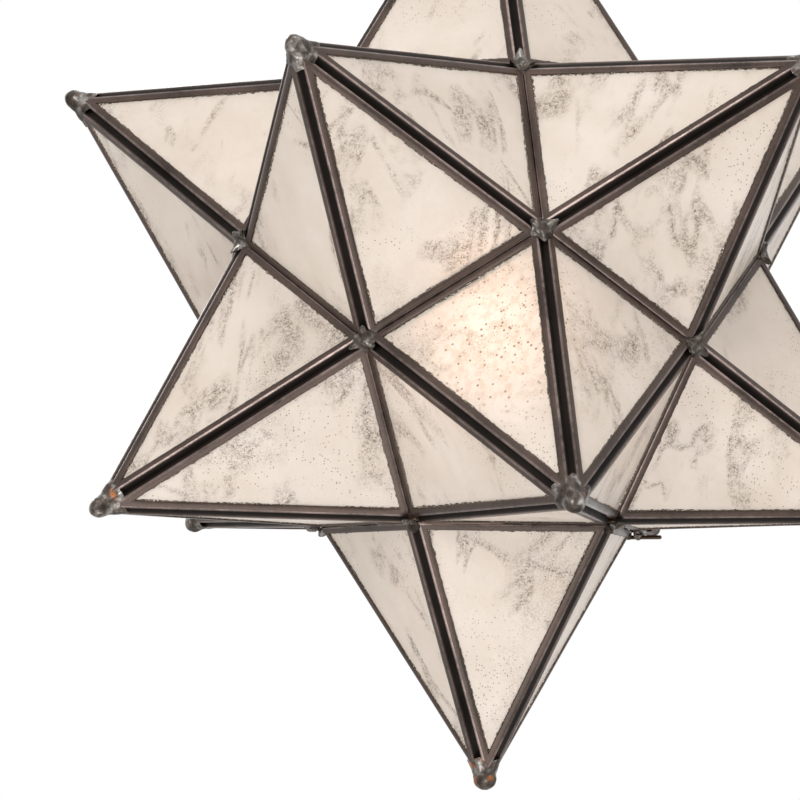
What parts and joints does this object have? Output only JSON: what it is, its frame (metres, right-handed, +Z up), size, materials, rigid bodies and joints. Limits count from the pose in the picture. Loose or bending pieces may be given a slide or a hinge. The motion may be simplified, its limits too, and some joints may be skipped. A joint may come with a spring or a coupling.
{
  "type": "moravian star pendant",
  "caption": "Many-pointed hanging star of cream seeded glass in dark U-channel cames, with a hinged bottom point for changing the lamp.",
  "frame": {"origin": "centre of the hanging eye's bore, at its mid length", "axes": "+Z up, +Y along the eye's bore, -Y the side of the lower point that faces forward"},
  "size_m": [0.4024, 0.4226, 0.4798],
  "materials": {
    "came_metal": "dark brown patina",
    "cream_glass": "milky, seeded, with grey wisps",
    "solder": "rough tin solder, darkened",
    "hinge_brass": "darkened brass",
    "holder_black": "moulded, satin",
    "bright_brass": "bright",
    "base_metal": "satin",
    "frosted_glass": "frosted"
  },
  "bodies": {
    "star": {"lower_point_1_cames": "came_metal", "lower_point_1_panes": "cream_glass", "lower_point_2_cames": "came_metal", "lower_point_2_panes": "cream_glass", "lower_point_3_cames": "came_metal", "lower_point_3_panes": "cream_glass", "lower_point_4_cames": "came_metal", "lower_point_4_panes": "cream_glass", "lower_point_5_cames": "came_metal", "lower_point_5_panes": "cream_glass", "upper_point_1_cames": "came_metal", "upper_point_1_panes": "cream_glass", "upper_point_2_cames": "came_metal", "upper_point_2_panes": "cream_glass", "upper_point_3_cames": "came_metal", "upper_point_3_panes": "cream_glass", "upper_point_4_cames": "came_metal", "upper_point_4_panes": "cream_glass", "upper_point_5_cames": "came_metal", "upper_point_5_panes": "cream_glass", "top_point_cames": "came_metal", "top_point_panes": "cream_glass", "valley_solder": "solder", "tip_solder": "solder", "rim_solder": "solder", "hinge_pin": "hinge_brass", "top_cap": "came_metal", "cap_plate": "hinge_brass", "stem": "hinge_brass", "stem_nut": "hinge_brass", "hanging_loop": "came_metal", "lampholder_cap": "holder_black", "lampholder_body": "holder_black", "screw_shell": "bright_brass", "centre_contact": "bright_brass"},
    "door": {"door_cames": "came_metal", "door_panes": "cream_glass", "door_solder": "solder", "hinge_knuckles": "hinge_brass", "door_tongues": "hinge_brass"},
    "bulb": {"bulb_base": "base_metal", "bulb_glass": "frosted_glass"}
  },
  "joints": [
    {"name": "door_hinge", "type": "hinge", "parent": "star", "child": "door", "pos_m": [0.03994, 0.05498, -0.34372], "axis": [0.809, -0.5878, 0], "range_deg": [0, 105]},
    {"name": "bulb_turn", "type": "hinge", "parent": "star", "child": "bulb", "pos_m": [0, 0, -0.23231], "axis": [0, 0, -1], "range_deg": [0, 1080]}
  ]
}
